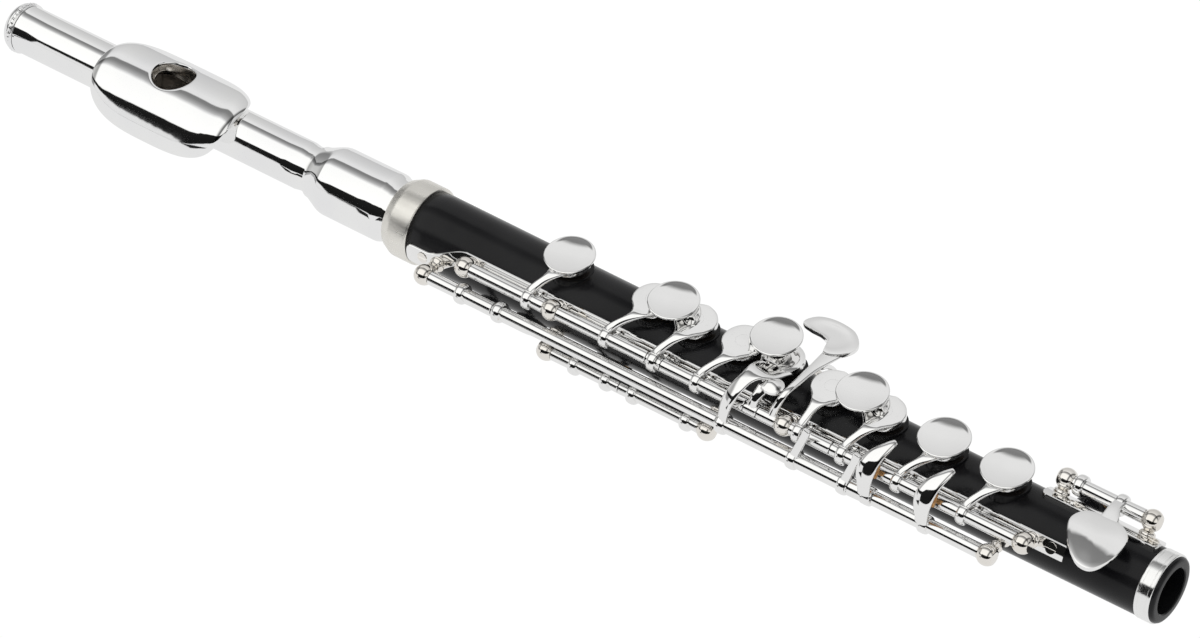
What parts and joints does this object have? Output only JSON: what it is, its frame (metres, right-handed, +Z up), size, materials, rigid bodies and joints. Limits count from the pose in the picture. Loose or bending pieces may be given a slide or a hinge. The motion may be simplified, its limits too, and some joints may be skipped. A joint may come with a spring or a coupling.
{
  "type": "piccolo",
  "caption": "Small transverse flute: metal head joint with a curved lip plate on a black moulded body, with a full set of hinged, padded keys on rods.",
  "frame": {"origin": "centre of the bore in the foot's end face", "axes": "+X out of the foot along the bore, +Z up through the finger keys, the hinge rods on the -Y side"},
  "size_m": [0.318, 0.0324, 0.0306],
  "materials": {
    "black_resin": "polished",
    "satin_nickel": "satin, turned",
    "nickel_silver": "polished",
    "key_silver": "polished plate",
    "polished_silver": "mirror polish",
    "steel": "bright drawn",
    "cork": "natural cork",
    "pad_skin": "thin skin over felt"
  },
  "bodies": {
    "body": {"body_tube": "black_resin", "body_ring": "satin_nickel", "tenon_cork": "cork", "foot_ring": "polished_silver", "main_rib": "key_silver", "e_flat_plate": "key_silver", "main_posts": "nickel_silver", "outer_posts": "nickel_silver", "thumb_posts": "nickel_silver", "e_flat_posts": "nickel_silver", "g_sharp_posts": "nickel_silver", "main_steels": "steel", "short_steels": "steel", "rib_screws": "nickel_silver", "needle_springs": "steel"},
    "head": {"head_tube": "polished_silver", "lip_plate": "polished_silver", "mouth_chimney": "polished_silver", "barrel": "polished_silver"},
    "crown": {"crown": "polished_silver"},
    "stopper": {"stopper_screw": "steel", "stopper_cork": "cork", "stopper_plates": "polished_silver"},
    "c_key": {"c_key": "key_silver", "c_pad": "pad_skin"},
    "b_flat_key": {"b_flat_key": "key_silver", "b_flat_pad": "pad_skin"},
    "a_key": {"a_key": "key_silver", "a_pad": "pad_skin"},
    "g_key": {"g_key": "key_silver", "g_pad": "pad_skin"},
    "low_g_key": {"low_g_key": "key_silver", "low_g_pad": "pad_skin"},
    "f_sharp_key": {"f_sharp_key": "key_silver", "f_sharp_pad": "pad_skin"},
    "f_key": {"f_key": "key_silver", "f_pad": "pad_skin"},
    "e_key": {"e_key": "key_silver", "e_pad": "pad_skin"},
    "d_key": {"d_key": "key_silver", "d_pad": "pad_skin"},
    "d_trill": {"d_trill": "key_silver", "d_trill_pad": "pad_skin", "d_trill_cork": "cork"},
    "d_sharp_trill": {"d_sharp_trill": "key_silver", "d_sharp_pad": "pad_skin", "d_sharp_cork": "cork", "trill_steel": "steel"},
    "b_thumb": {"b_thumb": "key_silver", "b_thumb_pad": "pad_skin"},
    "b_flat_thumb": {"b_flat_thumb": "key_silver"},
    "b_flat_lever": {"b_flat_lever": "key_silver"},
    "g_sharp_lever": {"g_sharp_lever": "key_silver"},
    "g_sharp_key": {"g_sharp_key": "key_silver", "g_sharp_pad": "pad_skin"},
    "e_flat_key": {"e_flat_key": "key_silver", "e_flat_pad": "pad_skin"}
  },
  "joints": [
    {"name": "head_slide", "type": "slide", "parent": "body", "child": "head", "axis": [-1, 0, 0], "range_m": [0, 0.01]},
    {"name": "crown_turn", "type": "hinge", "parent": "head", "child": "crown", "pos_m": [-0.316, 0, 0], "axis": [1, 0, 0], "range_deg": [0, 540]},
    {"name": "stopper_slide", "type": "slide", "parent": "head", "child": "stopper", "axis": [-1, 0, 0], "range_m": [0, 0.0015]},
    {"name": "c_press", "type": "hinge", "parent": "body", "child": "c_key", "pos_m": [-0.1575, -0.011, 0.0052], "axis": [1, 0, 0], "range_deg": [-6.3, 0], "stiffness_Nm_per_rad": 0.008, "springref_deg": 17.19},
    {"name": "b_flat_press", "type": "hinge", "parent": "body", "child": "b_flat_key", "pos_m": [-0.1364, -0.011, 0.0052], "axis": [1, 0, 0], "range_deg": [-6.3, 0], "stiffness_Nm_per_rad": 0.008, "springref_deg": 17.19},
    {"name": "a_press", "type": "hinge", "parent": "body", "child": "a_key", "pos_m": [-0.1236, -0.011, 0.0052], "axis": [1, 0, 0], "range_deg": [-6.3, 0], "stiffness_Nm_per_rad": 0.008, "springref_deg": 17.19},
    {"name": "g_press", "type": "hinge", "parent": "body", "child": "g_key", "pos_m": [-0.1121, -0.011, 0.0052], "axis": [1, 0, 0], "range_deg": [-6.3, 0], "stiffness_Nm_per_rad": 0.008, "springref_deg": 17.19},
    {"name": "low_g_press", "type": "hinge", "parent": "body", "child": "low_g_key", "pos_m": [-0.1032, -0.014, 0.0004], "axis": [1, 0, 0], "range_deg": [-4.6, 0], "stiffness_Nm_per_rad": 0.008, "springref_deg": 17.19},
    {"name": "f_sharp_press", "type": "hinge", "parent": "body", "child": "f_sharp_key", "pos_m": [-0.0856, -0.011, 0.0052], "axis": [1, 0, 0], "range_deg": [-6.3, 0], "stiffness_Nm_per_rad": 0.008, "springref_deg": 17.19},
    {"name": "f_press", "type": "hinge", "parent": "body", "child": "f_key", "pos_m": [-0.0744, -0.011, 0.0052], "axis": [1, 0, 0], "range_deg": [-6.3, 0], "stiffness_Nm_per_rad": 0.008, "springref_deg": 17.19},
    {"name": "e_press", "type": "hinge", "parent": "body", "child": "e_key", "pos_m": [-0.0604, -0.011, 0.0052], "axis": [1, 0, 0], "range_deg": [-6.3, 0], "stiffness_Nm_per_rad": 0.008, "springref_deg": 17.19},
    {"name": "d_press", "type": "hinge", "parent": "body", "child": "d_key", "pos_m": [-0.044, -0.011, 0.0052], "axis": [1, 0, 0], "range_deg": [-6.3, 0], "stiffness_Nm_per_rad": 0.008, "springref_deg": 17.19},
    {"name": "d_trill_press", "type": "hinge", "parent": "body", "child": "d_trill", "pos_m": [-0.0662, -0.014, 0.0004], "axis": [1, 0, 0], "range_deg": [-6, 0], "stiffness_Nm_per_rad": 0.008, "springref_deg": 17.19},
    {"name": "d_sharp_trill_press", "type": "hinge", "parent": "body", "child": "d_sharp_trill", "pos_m": [-0.0517, -0.014, 0.0004], "axis": [1, 0, 0], "range_deg": [-6, 0], "stiffness_Nm_per_rad": 0.008, "springref_deg": 17.19},
    {"name": "b_thumb_press", "type": "hinge", "parent": "body", "child": "b_thumb", "pos_m": [-0.141, -0.0105, -0.0076], "axis": [1, 0, 0], "range_deg": [0, 6.3], "stiffness_Nm_per_rad": 0.008, "springref_deg": -17.19},
    {"name": "b_flat_thumb_press", "type": "hinge", "parent": "body", "child": "b_flat_thumb", "pos_m": [-0.128, -0.0105, -0.0076], "axis": [1, 0, 0], "range_deg": [0, 5], "stiffness_Nm_per_rad": 0.008, "springref_deg": -17.19},
    {"name": "b_flat_lever_press", "type": "hinge", "parent": "body", "child": "b_flat_lever", "pos_m": [-0.098, -0.011, 0.0052], "axis": [1, 0, 0], "range_deg": [-7, 0], "stiffness_Nm_per_rad": 0.001, "springref_deg": 17.19},
    {"name": "g_sharp_lever_press", "type": "hinge", "parent": "body", "child": "g_sharp_lever", "pos_m": [-0.093, -0.011, 0.0052], "axis": [1, 0, 0], "range_deg": [-5, 0], "stiffness_Nm_per_rad": 0.002, "springref_deg": 17.19},
    {"name": "g_sharp_open", "type": "hinge", "parent": "body", "child": "g_sharp_key", "pos_m": [-0.0895, 0.0112, -0.0015], "axis": [1, 0, 0], "range_deg": [0, 11.5], "stiffness_Nm_per_rad": 0.008, "springref_deg": -17.19},
    {"name": "e_flat_press", "type": "hinge", "parent": "body", "child": "e_flat_key", "pos_m": [-0.02, 0.0068, 0.0094], "axis": [1, 0, 0], "range_deg": [0, 8], "stiffness_Nm_per_rad": 0.008, "springref_deg": -17.19}
  ],
  "couplings": [
    {"joint": "crown_turn", "follows": "stopper_slide", "rad_per_m": 6283},
    {"joint": "b_flat_press", "follows": "a_press", "ratio": 1},
    {"joint": "low_g_press", "follows": "g_press", "ratio": 0.73},
    {"joint": "f_sharp_press", "follows": "f_press", "ratio": 1},
    {"joint": "g_sharp_open", "follows": "g_sharp_lever_press", "ratio": -2.3}
  ]
}
